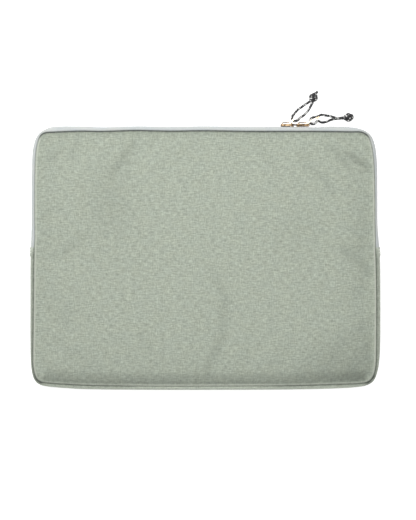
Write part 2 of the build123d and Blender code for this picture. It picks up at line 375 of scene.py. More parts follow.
def sweep_mesh(name, indices, section, creased=False):
    """A mesh swept along the seam, with cloth coordinates and, if creased, marks for the seam's shade."""
    rings = swept(indices, section)
    step = OUTLINE["total"] / len(OUTLINE["along"])
    uv_u = np.arange(len(indices) + 1) * step
    uv_v = around_lengths(section(indices[0]))
    marks = None
    if creased:
        painted_shade = seam_crease(indices, section)
        marks = {"painted_shade": painted_shade, "rim": np.zeros(painted_shade.size)}
    return loft(name, rings, uv_u, uv_v, marks)


# ---- gusset, tapes, bindings


def shoulder(bulge, front, back, angle):
    """Points of the gusset's rounded outer face, at angles from 0 at the front seam to pi at the back."""
    c, s = np.cos(angle), np.maximum(np.sin(angle), 0.0)
    mid, half = (front + back) / 2, (front - back) / 2
    up = mid + half * np.sign(c) * np.abs(c) ** 0.82
    out = bulge * s**0.72
    dip = 0.8 * np.exp(-((out / 0.45) ** 2)) * np.sign(c)
    return np.stack([out, up - dip], axis=-1)


def graded_angles(low, high, steps):
    """Angles from low to high, closer together beside a seam."""
    near = np.array([0.0, 0.012, 0.03, 0.06, 0.1, 0.16, 0.24])
    angle = np.linspace(max(low, 0.34), min(high, PI - 0.34), steps)
    if low < 0.01:
        angle = np.concatenate([near, angle])
    if high > PI - 0.01:
        angle = np.concatenate([angle, PI - near[::-1]])
    return angle


def band_profile(bulge, front, back, low, high, thick, steps=14):
    """Closed cross-section of a band between two angles, with an edge that reaches a seam tucked into it."""
    angle = graded_angles(low, high, steps)
    outer = shoulder(bulge, front, back, angle)
    inner = shoulder(bulge - thick, front - thick, back + thick, angle[::-1])
    front_tuck = back_tuck = np.empty((0, 2))
    if low < 0.01:
        front_tuck = np.array([[-0.9, front - 2.2]])
        inner[-1] = (-1.1, front - 2.9)
    if high > PI - 0.01:
        back_tuck = np.array([[-0.9, back + 2.2]])
        inner[0] = (-1.1, back + 2.9)
    return np.concatenate([front_tuck, outer, back_tuck, inner])


def canvas_section(i):
    """The gusset's canvas, thicker where its end is folded back over the zip and drawn in by the stitches."""
    y = OUTLINE["at"][i][1]
    grooves = sum(np.exp(-(((y - row) / ROW_WIDTH) ** 2)) for row in STITCH_ROWS_Y)
    bulge = OUTLINE["bulge"][i] + FOLD_PUFF * smoothstep(1.0, 2.2, y) - ROW_DEPTH * grooves
    return band_profile(bulge, seam_height(y) + 0.9, BACK_SEAM_Z - 0.5, 0.0, PI, 1.0, 22)


def lining_section(i):
    """The gusset's lining, inside its canvas."""
    front = seam_height(OUTLINE["at"][i][1]) - 1.4
    return band_profile(OUTLINE["bulge"][i] - 1.3, front, 4.0, 0.15, PI - 0.15, 0.5)


def tape_section(front_half):
    """One zip tape, from its seam to the edge of the coil."""
    low, high = (0.0, TAPE_ANGLE) if front_half else (PI - TAPE_ANGLE, PI)

    def section(i):
        y = OUTLINE["at"][i][1]
        front = seam_height(y) + 0.9
        return band_profile(OUTLINE["bulge"][i], front, BACK_SEAM_Z - 0.4, low, high, 0.6, 12)

    return section


def strip_section(up):
    """A binding: a flat strip with rounded corners, whose middle is at the height up."""
    angle = np.linspace(0, 2 * PI, 16, endpoint=False)
    c, s = np.cos(angle), np.sin(angle)
    across = BINDING_THICK / 2 * np.sign(c) * np.abs(c) ** 0.6
    upward = BINDING_WIDE / 2 * np.sign(s) * np.abs(s) ** 0.35
    shape = np.stack([across, upward], axis=1)

    def section(i):
        wave = 0.25 * math.sin(OUTLINE["along"][i] / 9.0) + 0.15 * math.sin(OUTLINE["along"][i] / 3.7)
        return shape + np.array([BINDING_OUT + wave, up])

    return section


# ---- panels


def graded(length, fine):
    """Fractions of a length, close together at both ends and even in the middle."""
    ends = np.array([0, 0.35, 0.8, 1.3, 1.9, 2.6, 3.5, 4.6, 6.0, 7.8, 10.0]) / length
    count = int((length - 20.0) / fine)
    middle = np.linspace(10.0 / length, 1 - 10.0 / length, count)
    return np.concatenate([ends[:-1], middle, (1 - ends[:-1])[::-1]])


def seam_between(start, end, fractions):
    """Places along the seam at fractions of the way from one distance to another."""
    at = OUTLINE["at"]
    along = OUTLINE["along"]
    total = OUTLINE["total"]
    where = (start + np.asarray(fractions) * (end - start)) % total
    wrapped_along = np.append(along, total)
    wrapped = np.vstack([at, at[:1]])
    return np.stack([np.interp(where, wrapped_along, wrapped[:, k]) for k in range(2)], axis=1)


def panel_grid(fine):
    """A grid of places inside the seam, whose border follows it."""
    at, along, total = OUTLINE["at"], OUTLINE["along"], OUTLINE["total"]

    def corner(right, up):
        return along[int(np.argmax(at[:, 0] * right + at[:, 1] * up))]

    top_right, low_right = corner(1, 1), corner(1, -1)
    low_left, top_left = corner(-1, -1), corner(-1, 1)
    across, upward = graded(PANEL_WIDTH, fine), graded(PANEL_HEIGHT, fine)
    top = seam_between(top_left - total, top_right, across)
    right = seam_between(low_right, top_right, upward)
    bottom = seam_between(low_left, low_right, across)
    left = seam_between(low_left, top_left, upward)
    f, g = across[:, None, None], upward[None, :, None]
    grid = (1 - g) * bottom[:, None] + g * top[:, None] + (1 - f) * left[None] + f * right[None]
    low_corners = (1 - f) * (1 - g) * left[0] + f * (1 - g) * right[0]
    grid -= low_corners + (1 - f) * g * left[-1] + f * g * right[-1]
    return grid


def grid_faces(n, m):
    """The faces between the points of a grid."""
    corners = [i * m + j for i in range(n - 1) for j in range(m - 1)]
    return [(a, a + m, a + m + 1, a + 1) for a in corners]


def seam_distance(places):
    """How far inside the seam each place is, and the y part of the nearest outward normal."""
    share = np.linspace(0, 1, SEAM_SAMPLES, endpoint=False)
    fine = seam_between(0.0, OUTLINE["total"], share)
    tree = KDTree(len(fine))
    for i, (x, y) in enumerate(fine):
        tree.insert((x, y, 0), i)
    tree.balance()
    found = [tree.find((x, y, 0)) for x, y in places]
    north = np.interp(share * OUTLINE["total"], OUTLINE["along"], OUTLINE["normal"][:, 1])
    return np.array([hit[2] for hit in found]), north[[hit[1] for hit in found]]


def panel_marks(d, north, x, y, lost=0.0):
    """The painted shade in the seam and folds and the painted highlight on the rolled rim beside it, for each
    place of a panel.
    """
    depth, rim, _ = seam_shade(north, x, y)
    low_edge = smoothstep(0.9, 0.99, -north)
    top_edge = smoothstep(0.5, 0.9, north)
    # painted shade on the rolled bottom edge and beside the top seam, added to the folds' painted shade below
    shade = 0.22 * low_edge * (1 - smoothstep(9.0, 16.0, d)) * smoothstep(1.6, 3.2, d)
    shade += 0.15 * low_edge * np.exp(-(((d - 3.8) / 1.7) ** 2))
    shade += 0.16 * top_edge * np.exp(-((d / 3.6) ** 2))
    shade += 0.07 * low_edge * np.exp(-((d / 22.0) ** 2))
    painted_shade = depth * np.exp(-((d / 1.1) ** 2)) + shade + lost * smoothstep(1.0, 7.0, d)
    # painted highlight along the panel's rolled rim, just inside the seam
    highlight_strength = rim * np.exp(-(((d - 1.5) / 0.6) ** 2))
    return {"painted_shade": np.tile(painted_shade, 2), "rim": np.tile(highlight_strength, 2)}


# Soft folds of the front panel: start, end, depth, half-width and how much light the hollow loses
FOLDS = [
    ((-68, 116), (-92, 80), 0.75, 4.6, 0.20),
    ((-122, 119), (-134, 96), 0.40, 3.4, 0.11),
    ((-136, 110), (-154, 93), 0.35, 3.2, 0.09),
    ((-115, 24), (-143, 3), 0.40, 5.0, 0.10),
    ((-50, 120), (-53, 108), 0.30, 3.0, 0.10),
    ((-8, 117), (-30, 93), 0.35, 4.4, 0.07),
    ((49, 111), (69, 86), 0.35, 3.4, 0.08),
    ((90, 104), (108, 84), 0.40, 3.8, 0.09),
    ((108, 84), (128, 63), 0.45, 3.6, 0.11),
    ((120, 111), (146, 83), 0.60, 3.0, 0.15),
    ((137, 104), (165, 85), 0.90, 3.0, 0.32),
    ((132, 11), (166, -18), 0.45, 3.6, 0.14),
    ((3, -6), (20, -40), 0.45, 5.0, 0.07),
    ((20, -36), (17, -78), 0.60, 5.6, 0.12),
    ((17, -74), (-1, -118), 0.65, 5.0, 0.15),
    ((-62, -70), (-56, -96), 0.30, 6.0, 0.07),
]
# Wide, shallow hollows: middle, half-width across and up, depth, and the light lost
HOLLOWS = [
    ((-93, 50), 22.0, 38.0, 0.9, 0.10),
    ((-137, -56), 10.0, 12.0, 0.4, 0.06),
    ((92, 22), 26.0, 22.0, 0.5, 0.045),
    ((158, 20), 14.0, 60.0, 0.7, 0.09),
    ((162, -75), 15.0, 38.0, 0.3, 0.08),
    ((-158, 30), 15.0, 100.0, 0.3, 0.04),
]


def fold(x, y, start, end, wide):
    """How far each place is into a soft fold between two places, from 0 to 1."""
    a, b = np.array(start, float), np.array(end, float)
    d = b - a
    length = np.linalg.norm(d)
    d /= length
    along = (x - a[0]) * d[0] + (y - a[1]) * d[1]
    across = -(x - a[0]) * d[1] + (y - a[1]) * d[0]
    bow = 0.035 * along * (length - along) / length
    ends = smoothstep(-0.2 * length, 0.25 * length, along)
    ends = ends * (1 - smoothstep(0.75 * length, 1.2 * length, along))
    return ends * np.exp(-(((across - bow) / wide) ** 2))


def low_corner(x, y):
    """How far each place is into the slumped lower right corner, from 0 to 1."""
    away = np.hypot((x - 172.0) / 115.0, (y + 128.0) / 76.0)
    return 1 - smoothstep(0.0, 1.0, away)


def front_folds(x, y):
    """Height and lost light of the folds, hollows and slumped corner."""
    height = -2.0 * low_corner(x, y)
    lost = 0.34 * low_corner(x, y)
    for start, end, depth, wide, light in FOLDS:
        share = fold(x, y, start, end, wide)
        height = height - depth * share
        lost = lost + light * share
    for (mid_x, mid_y), across, upward, depth, light in HOLLOWS:
        share = np.exp(-(((x - mid_x) / across) ** 2) - ((y - mid_y) / upward) ** 2)
        height = height - depth * share
        lost = lost + light * share
    return height, lost


def front_relief(x, y, d):
    """Gentle height changes of the front panel: crown, sway, puckers along the seam and folds."""
    inside = smoothstep(0.0, 12.0, d)
    crown = 1.3 * (1 - np.exp(-d / 22.0))
    sway = 0.40 * np.sin(x / 31.0 + 1.1 * np.sin(y / 47.0)) * np.cos(y / 38.0 + 0.7)
    sway += 0.26 * np.sin(x / 17.0 - y / 23.0 + 0.5)
    pucker = 0.20 * np.sin(x / 5.1 + 1.7 * np.sin(x / 19.0)) * np.cos(y / 6.3 + 1.3 * np.sin(y / 16.0))
    pucker *= np.exp(-d / 9.0) * smoothstep(0.5, 4.0, d)
    height, _ = front_folds(x, y)
    return crown + inside * sway + pucker + height * smoothstep(1.0, 7.0, d)


def pinned_sheet(grid):
    """A flat sheet over a grid of places, held along the seam."""
    n, m, _ = grid.shape
    mesh = bpy.data.meshes.new("wrinkle_sheet")
    mesh.from_pydata([(x * MM, y * MM, 0.0) for x, y in grid.reshape(-1, 2)], [], grid_faces(n, m))
    sheet = bpy.data.objects.new("wrinkle_sheet", mesh)
    show(sheet)
    border = [i * m + j for i in range(n) for j in range(m) if i in (0, n - 1) or j in (0, m - 1)]
    sheet.vertex_groups.new(name="seam").add(border, 1.0, "REPLACE")
    return sheet


def slacken(sheet):
    """Make a sheet behave as slack canvas over a firm pad, which presses it up from below."""
    settings = sheet.modifiers.new("cloth", "CLOTH").settings
    settings.quality = 6
    settings.mass = 0.02
    settings.tension_stiffness = 18.0
    settings.compression_stiffness = 18.0
    settings.shear_stiffness = 8.0
    settings.bending_stiffness = 0.25
    settings.shrink_min = -SIM_SLACK
    settings.use_pressure = True
    settings.uniform_pressure_force = 1.5
    settings.vertex_group_mass = "seam"
    settings.effector_weights.gravity = 0.0


def without_dome(height):
    """Heights less the wide dome that the pad would hold down."""
    dome = height.copy()
    for _ in range(SIM_DOME):
        padded = np.pad(dome, 1, mode="edge")
        dome = (padded[:-2, 1:-1] + padded[2:, 1:-1] + padded[1:-1, :-2] + padded[1:-1, 2:]) / 4
    return height - dome


def simulated_wrinkles():
    """Heights of the wrinkles that slack canvas makes, on a coarse grid of the panel."""
    scene = bpy.context.scene
    grid = panel_grid(SIM_STEP)
    sheet = pinned_sheet(grid)
    slacken(sheet)
    for number in range(1, SIM_FRAMES + 1):
        scene.frame_set(number)
    settled = sheet.evaluated_get(bpy.context.evaluated_depsgraph_get()).to_mesh()
    height = np.array([v.co.z for v in settled.vertices]).reshape(grid.shape[:2]) / MM
    scene.frame_set(1)
    mesh = sheet.data
    bpy.data.objects.remove(sheet)
    bpy.data.meshes.remove(mesh)
    return SIM_CAP * np.tanh(without_dome(height) / SIM_CAP)


def spread(heights):
    """Heights on the simulation's grid, read off at the places of the panel's finer one."""
    across, upward = graded(PANEL_WIDTH, PANEL_STEP), graded(PANEL_HEIGHT, PANEL_STEP)
    coarse_across, coarse_upward = graded(PANEL_WIDTH, SIM_STEP), graded(PANEL_HEIGHT, SIM_STEP)
    rows = np.array([np.interp(upward, coarse_upward, row) for row in heights])
    return np.array([np.interp(across, coarse_across, row) for row in rows.T]).T.ravel()


def rolled(d, wide):
    """0 at the seam, 1 once the panel's edge has rolled over."""
    t = np.clip(d / wide, 0, 1)
    return np.sqrt(np.clip(1 - (1 - t) ** 2, 0, 1))


def panel_mesh(name, grid, outer, inner, marks=None):
    """A closed pad between an outer and an inner surface over the same grid."""
    n, m, _ = grid.shape
    places = grid.reshape(-1, 2)
    points = np.concatenate([np.column_stack([places, outer]), np.column_stack([places, inner])])
    half = n * m
    faces = []
    for a, b, c, d in grid_faces(n, m):
        faces.append((a, b, c, d))
        faces.append((half + d, half + c, half + b, half + a))
    rim = [i * m for i in range(n)] + [(n - 1) * m + j for j in range(1, m)]
    rim += [i * m + m - 1 for i in range(n - 2, -1, -1)] + list(range(m - 2, 0, -1))
    for a, b in zip(rim, rim[1:] + rim[:1]):
        faces.append((b, a, half + a, half + b))
    face_uv = [points[v, :2] for face in faces for v in face]
    mesh = new_mesh(name, points, faces, face_uv, marks)
    if outer.mean() < inner.mean():
        mesh.flip_normals()
    return mesh


def cut(mesh, name, point, normal):
    """The part of a mesh behind a plane, closed along the cut."""
    part = bmesh.new()
    part.from_mesh(mesh)
    every = part.verts[:] + part.edges[:] + part.faces[:]
    made = bmesh.ops.bisect_plane(
        part, geom=every, dist=1e-7, plane_co=Vector(point) * MM, plane_no=normal, clear_outer=True
    )
    edges = [e for e in made["geom_cut"] if isinstance(e, bmesh.types.BMEdge)]
    bmesh.ops.holes_fill(part, edges=edges, sides=0)
    for edge in edges:
        edge.smooth = False
    result = bpy.data.meshes.new(name)
    part.to_mesh(result)
    part.free()
    return result


def split_front(mesh, name):
    """A front layer as a fixed lower part and a left and right part."""
    hinge = (0, ZIP_END_Y, 0)
    middle = (MOUTH_X, 0, 0)
    lower = cut(mesh, f"{name}_lower", hinge, (0, 1, 0))
    upper = cut(mesh, f"{name}_upper", hinge, (0, -1, 0))
    left = cut(upper, f"{name}_left", middle, (1, 0, 0))
    right = cut(upper, f"{name}_right", middle, (-1, 0, 0))
    return lower, left, right


def lift_with_mouth(piece):
    """Bake the piece's placement into its mesh."""
    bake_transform(piece)


# ---- materials


class Nodes:
    """Short names for making a material's nodes."""

    def __init__(self, name):
        self.material = bpy.data.materials.new(name)
        self.material.use_nodes = True
        self.tree = self.material.node_tree
        self.shader = self.tree.nodes["Principled BSDF"]

    def add(self, kind, **settings):
        made = self.tree.nodes.new(f"ShaderNode{kind}")
        for key, value in settings.items():
            setattr(made, key, value)
        return made

    def link(self, output, target):
        self.tree.links.new(output, target)

    def cloth(self):
        """Cloth coordinates, in metres along the threads."""
        return self.add("UVMap", uv_map="cloth").outputs["UV"]

    def place(self):
        """The place in the object."""
        return self.add("TexCoord").outputs["Object"]

    def mark(self, name):
        """One of the marks at the points of a mesh."""
        return self.add("Attribute", attribute_name=name).outputs["Fac"]

    def split(self, vector):
        """The x and y parts of a vector."""
        made = self.add("SeparateXYZ")
        self.link(vector, made.inputs[0])
        return made.outputs[0], made.outputs[1]

    def noise(self, vector, scale, detail=2.0, roughness=0.5):
        """Noise with a scale for each direction, in features to the metre."""
        mapping = self.add("Mapping")
        self.link(vector, mapping.inputs["Vector"])
        mapping.inputs["Scale"].default_value = (*scale, 1.0)[:3]
        made = self.add("TexNoise")
        self.link(mapping.outputs["Vector"], made.inputs["Vector"])
        made.inputs["Scale"].default_value = 1.0
        made.inputs["Detail"].default_value = detail
        made.inputs["Roughness"].default_value = roughness
        return made.outputs["Fac"]

    def math(self, operation, *values):
        made = self.add("Math", operation=operation)
        for socket, value in zip(made.inputs, values):
            if isinstance(value, (int, float)):
                socket.default_value = value
            else:
                self.link(value, socket)
        return made.outputs[0]

    def line(self, value, slope, start):
        """start + slope * value."""
        return self.math("MULTIPLY_ADD", value, slope, start)

    def step(self, factor, low, high, top=1.0):
        """0 while factor is below low, top once it is above high."""
        made = self.add("ValToRGB")
        self.link(factor, made.inputs["Fac"])
        for element, position, value in zip(made.color_ramp.elements, (low, high), (0.0, top)):
            element.position = position
            element.color = (value, value, value, 1.0)
        return made.outputs["Color"]

    def mix(self, factor, a, b, blend="MIX"):
        made = self.add("Mix", data_type="RGBA", blend_type=blend)
        for socket, value in ((made.inputs[0], factor), (made.inputs[6], a), (made.inputs[7], b)):
            if isinstance(value, (int, float)):
                socket.default_value = value
            elif isinstance(value, tuple):
                socket.default_value = (*value, 1.0)
            else:
                self.link(value, socket)
        return made.outputs[2]

    def surface(self, colour, rough):
        """Link the colour and the roughness that vary over the surface."""
        self.link(colour, self.shader.inputs["Base Color"])
        self.link(rough, self.shader.inputs["Roughness"])

    def bump(self, height, distance, strength=1.0):
        made = self.add("Bump")
        self.link(height, made.inputs["Height"])
        made.inputs["Distance"].default_value = distance
        made.inputs["Strength"].default_value = strength
        self.link(made.outputs["Normal"], self.shader.inputs["Normal"])

    def set(self, **values):
        for key, value in values.items():
            self.shader.inputs[key.replace("_", " ")].default_value = value


def grey(r, g, b):
    """A colour given in screen values, as the shader's linear values."""
    return tuple(((v / 255 + 0.055) / 1.055) ** 2.4 if v > 10 else v / 255 / 12.92 for v in (r, g, b))


def woven(nodes, cloth, pitch):
    """Height of a plain weave with a thread pitch in metres."""
    across, upward = nodes.split(cloth)
    across = nodes.math("SINE", nodes.math("MULTIPLY", across, PI / pitch))
    upward = nodes.math("SINE", nodes.math("MULTIPLY", upward, PI / pitch))
    return nodes.math("MULTIPLY", across, upward)


def with_painted_shade(nodes, colour, dark):
    """Darken a colour towards a dark colour as painted shade in the seam, folds and hollows, a little
    unevenly.
    """
    # pull is only noise that makes the painted shade uneven
    pull = nodes.line(nodes.noise(nodes.place(), (330, 330, 330), 2.0, 0.6), 0.7, 0.6)
    return nodes.mix(nodes.math("MULTIPLY", nodes.mark("painted_shade"), pull), colour, dark)


def canvas_material(name, base, cool, warm):
    """Heathered canvas: slub threads both ways, flecks, cool and warm drift, painted shade in the seam and a
    painted highlight on the rolled rim.
    """
    nodes = Nodes(name)
    cloth = nodes.cloth()
    warp = nodes.noise(cloth, (850, 220))
    weft = nodes.noise(cloth, (180, 850))
    fleck = nodes.noise(cloth, (640, 640), 2.0, 0.6)
    drift = nodes.noise(cloth, (70, 95), 3.0, 0.6)
    highlight_strength = nodes.noise(cloth, (150, 150), 3.0, 0.6)
    light = nodes.math("ADD", nodes.line(warp, 0.70, 0.65), nodes.line(weft, 0.92, -0.46))
    light = nodes.math("ADD", light, nodes.line(fleck, 0.48, -0.24))
    tone = nodes.mix(nodes.step(drift, 0.40, 0.60), cool, warm)
    colour = nodes.mix(1.0, nodes.mix(0.88, tone, base), light, "MULTIPLY")
    # painted highlight on the rolled rim, a little uneven, towards a pale grey
    rim = nodes.math("MULTIPLY", nodes.mark("rim"), nodes.line(highlight_strength, 0.8, 0.45))
    colour = nodes.mix(rim, colour, grey(178, 182, 170))
    # painted shade in the seam, the folds and the slumped corner, towards a dark green grey
    colour = with_painted_shade(nodes, colour, grey(52, 58, 50))
    nodes.surface(colour, nodes.line(fleck, 0.15, 0.82))
    nodes.set(Specular_IOR_Level=0.25, Sheen_Weight=0.12, Sheen_Roughness=0.6)
    slubs = nodes.math("MULTIPLY", nodes.math("ADD", warp, weft), 1.6)
    nodes.bump(nodes.math("ADD", woven(nodes, cloth, 0.00055), slubs), 0.00022, 0.8)
    return nodes.material


def tape_material():
    """Pale zip tape: fine ribs along its length."""
    nodes = Nodes("zip_tape_weave")
    cloth = nodes.cloth()
    rib = nodes.noise(cloth, (60, 1900))
    fleck = nodes.noise(cloth, (800, 800), 2.0, 0.6)
    drift = nodes.noise(cloth, (45, 120))
    tone = nodes.mix(nodes.step(drift, 0.35, 0.65), grey(159, 164, 165), grey(166, 169, 166))
    light = nodes.math("ADD", nodes.line(rib, 0.22, 0.89), nodes.line(fleck, 0.24, -0.12))
    # painted shade in the tape's seam, towards a dark green grey
    colour = with_painted_shade(nodes, nodes.mix(1.0, tone, light, "MULTIPLY"), grey(60, 68, 62))
    nodes.surface(colour, nodes.line(fleck, 0.2, 0.6))
    nodes.set(Specular_IOR_Level=0.35, Sheen_Weight=0.15)
    nodes.bump(nodes.math("ADD", rib, woven(nodes, cloth, 0.0004)), 0.00012, 0.7)
    return nodes.material


def coil_material():
    """Nylon coil: smooth grey, duller in places."""
    nodes = Nodes("zip_coil_nylon")
    wear = nodes.noise(nodes.place(), (220, 220, 220))
    nodes.surface(nodes.mix(wear, grey(172, 181, 184), grey(204, 210, 210)), nodes.line(wear, 0.25, 0.28))
    nodes.set(Specular_IOR_Level=0.5)
    return nodes.material


def lining_material():
    """Close-woven lining, darker than the canvas."""
    nodes = Nodes("lining_weave")
    cloth = nodes.cloth()
    fleck = nodes.noise(cloth, (700, 700), 2.0, 0.6)
    drift = nodes.noise(cloth, (30, 30), 3.0, 0.5)
    tone = nodes.mix(drift, grey(88, 97, 92), grey(106, 114, 106))
    nodes.surface(nodes.mix(1.0, tone, nodes.line(fleck, 0.4, 0.8), "MULTIPLY"), nodes.line(fleck, 0.2, 0.6))
    nodes.set(Sheen_Weight=0.2)
    nodes.bump(woven(nodes, cloth, 0.0005), 0.0001, 0.7)
    return nodes.material


def binding_material():
    """Ribbed binding tape."""
    nodes = Nodes("binding_grosgrain")
    cloth = nodes.cloth()
    along, _ = nodes.split(cloth)
    rib = nodes.math("SINE", nodes.math("MULTIPLY", along, 2 * PI / 0.0009))
    fleck = nodes.noise(cloth, (900, 900), 2.0, 0.6)
    light = nodes.math("ADD", nodes.line(rib, 0.06, 0.85), nodes.math("MULTIPLY", fleck, 0.25))
    nodes.surface(nodes.mix(1.0, grey(74, 82, 78), light, "MULTIPLY"), nodes.line(fleck, 0.2, 0.6))
    nodes.bump(rib, 0.00015, 0.8)
    return nodes.material


def thread_material():
    """Pale twisted sewing thread."""
    nodes = Nodes("thread_twist")
    twist = nodes.noise(nodes.place(), (1500, 3500, 1500))
    nodes.surface(nodes.mix(twist, grey(196, 200, 190), grey(232, 234, 226)), nodes.line(twist, 0.2, 0.5))
    nodes.bump(twist, 0.00008)
    return nodes.material


def brass_material(name, dark, pale, rough, dark_blotches):
    """Brass with fine scratches, a patina in two tones and dark blotches at random, partly tarnished spots
    and partly painted shade for the slider's dark hollows.
    """
    nodes = Nodes(name)
    place = nodes.place()
    scratch = nodes.noise(place, (2600, 300, 900), 3.0, 0.6)
    patina = nodes.noise(place, (320, 320, 320), 3.0, 0.6)
    blotch = nodes.noise(place, (420, 620, 620), 4.0, 0.6)
    colour = nodes.mix(nodes.step(patina, 0.38, 0.62), dark, pale)
    # dark blotches at random: partly tarnished spots, partly painted shade for the slider's hollows
    colour = nodes.mix(nodes.step(blotch, 0.42, 0.58, dark_blotches), colour, grey(48, 36, 26))
    nodes.surface(colour, nodes.line(scratch, 0.2, rough))
    nodes.set(Metallic=1.0)
    nodes.bump(scratch, 0.00004, 0.5)
    return nodes.material


def braid_flecks(nodes, along, around):
    """1 on the strand crossings of the braid that are white, 0 on the rest."""
    turn = nodes.math("MULTIPLY", around, BRAID_CELLS / (BRAID_TURN * MM))
    run = nodes.math("DIVIDE", along, BRAID_LENGTH * MM)
    crossings = (nodes.math("ADD", turn, run), nodes.math("SUBTRACT", turn, run))
    cell = nodes.add("CombineXYZ")
    middle = []
    for number, strand in enumerate(crossings):
        count = nodes.math("FLOORED_MODULO", nodes.math("FLOOR", strand), BRAID_CELLS)
        nodes.link(count, cell.inputs[number])
        middle.append(nodes.math("ABSOLUTE", nodes.math("SUBTRACT", nodes.math("FRACT", strand), 0.5)))
    nodes.link(nodes.math("FLOOR", nodes.math("DIVIDE", run, 2 * BRAID_CELLS)), cell.inputs[2])
    chance = nodes.add("TexWhiteNoise", noise_dimensions="3D")
    nodes.link(cell.outputs[0], chance.inputs["Vector"])
    core = nodes.math("LESS_THAN", nodes.math("MAXIMUM", *middle), 0.40)
    return nodes.math("MULTIPLY", core, nodes.math("GREATER_THAN", chance.outputs["Value"], 0.70))


def cord_material():
    """Braided cord: black strands with white flecks that run diagonally."""
    nodes = Nodes("cord_braid")
    cloth = nodes.cloth()
    white = braid_flecks(nodes, *nodes.split(cloth))
    fibre = nodes.noise(cloth, (3000, 1400), 2.0, 0.6)
    dark = nodes.mix(fibre, grey(8, 8, 10), grey(42, 42, 44))
    pale = nodes.mix(fibre, grey(160, 161, 160), grey(236, 236, 232))
    nodes.surface(nodes.mix(white, dark, pale), nodes.line(fibre, 0.2, 0.5))
    nodes.bump(fibre, 0.0001)
    return nodes.material


# ---- cords and knots


def smooth_line(name, points):
    """Evenly spaced places down a smooth curve with these control points, in metres."""
    data = bpy.data.curves.new(name, "CURVE")
    data.dimensions = "3D"
    data.resolution_u = 16
    spline = data.splines.new("NURBS")
    spline.points.add(len(points) - 1)
    for target, place in zip(spline.points, points):
        target.co = (*place, 1.0)
    spline.order_u = 3
    spline.use_endpoint_u = True
    holder = bpy.data.objects.new(name, data)
    mesh = bpy.data.meshes.new_from_object(holder)
    line = np.array([v.co for v in mesh.vertices], float)
    bpy.data.objects.remove(holder)
    bpy.data.meshes.remove(mesh)
    along = path_lengths(line)
    at = np.linspace(0, along[-1], int(along[-1] / CORD_STEP))
    return np.stack([np.interp(at, along, line[:, k]) for k in range(3)], axis=1)


def tube_frames(line):
    """Two directions across a line at each point, carried along it without twisting."""
    tangent = np.gradient(line, axis=0)
    tangent /= np.linalg.norm(tangent, axis=1)[:, None]
    side = np.cross(tangent[0], (0.31, 0.12, 0.94))
    sides, ups = [], []
    for t in tangent:
        side = side - t * (side @ t)
        side /= np.linalg.norm(side)
        sides.append(side.copy())
        ups.append(np.cross(t, side))
    return np.array(sides), np.array(ups)


def tube_rings(line, size, around):
    """Round cross-sections along a line. size is their radius, and may differ from point to point."""
    angle = np.arange(around) * 2 * PI / around
    sides, ups = tube_frames(line)
    ring = np.cos(angle)[None, :, None] * sides[:, None] + np.sin(angle)[None, :, None] * ups[:, None]
    return line[:, None] + size * ring


def braided_tube(name, line, radius, around=24):
    """A tube of braided strands along a line, with rounded ends. line is in metres."""
    line = np.asarray(line) / MM
    length = path_lengths(line)
    end = np.minimum(length, length[-1] - length)[:, None]
    cap = np.sqrt(np.clip(1 - (1 - np.clip(end / (0.7 * radius), 0.02, 1)) ** 2, 0, 1))
    turn = (BRAID_CELLS * np.arange(around) * 2 * PI / around)[None, :]
    run = 2 * PI * length[:, None] / BRAID_LENGTH
    strands = np.sin(turn + run) * np.sin(turn - run)
    size = radius * (0.955 + 0.055 * strands) * cap
    uv_v = np.arange(around + 1) * BRAID_TURN / around
    return loft(name, tube_rings(line, size[:, :, None], around), np.append(length, length[-1]), uv_v)


def make_cord(side, material):
    """One pull's cord, in two legs through its link."""
    line = smooth_line(f"cord_line_{side}", CORD_ROUTE[side])
    mesh = braided_tube(f"pull_cord_{side}", line, CORD_RADIUS)
    piece = add_object(f"pull_cord_{side}", mesh, material, f"{side}_pull")
    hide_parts(f"cord_{side}")
    return piece, line


def knot_strands(tail):
    """The knot's turns and its cut tail, round the origin, in millimetres."""
    t = np.linspace(0.0, 2 * PI + 0.25, 26)
    reach = KNOT_RADIUS + KNOT_SWING * np.cos(3 * t)
    turns = np.column_stack([reach * np.cos(2 * t), reach * np.sin(2 * t), 1.45 * np.sin(3 * t)])
    heart = [(-5.2, 0.1, -0.8), (-2.2, -0.6, -0.6), (-0.4, 0.5, 0.4), (1.6, 0.2, 0.2), (2.6, -0.8, -0.6)]
    collar = [(-4.2 + 0.1 * k, 1.9 * math.cos(k), 1.7 * math.sin(k) - 0.6) for k in range(8)]
    end = [(0.4, 0.2, -0.4), (tail * 0.5, 0.9, 0.3), (tail, -0.3, -0.6)]
    return [turns, np.array(heart), np.array(collar), np.array(end)]


def make_knot(side, material):
    """The knot of a pull: three lobes drawn tight round a heart, with a short tail."""
    turn = math.radians(KNOT_TURN[side])
    centre = np.array(KNOT_AT[side])
    strands = []
    for number, local in enumerate(knot_strands(KNOT_TAIL[side])):
        x = centre[0] + local[:, 0] * math.cos(turn) - local[:, 1] * math.sin(turn)
        y = centre[1] + local[:, 0] * math.sin(turn) + local[:, 1] * math.cos(turn)
        z = np.maximum(centre[2] + local[:, 2], KNOT_STRAND + 0.05)
        line = smooth_line(f"knot_line_{side}_{number}", (np.column_stack([x, y, z]) * MM).tolist())
        strands.append(braided_tube(f"knot_strand_{side}_{number}", line, KNOT_STRAND, 20))
    mesh = merged(f"pull_knot_{side}", strands)
    piece = add_object(f"pull_knot_{side}", mesh, material, f"{side}_pull")
    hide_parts(f"knot_{side}")
    return piece


# ---- zip coil and stitches


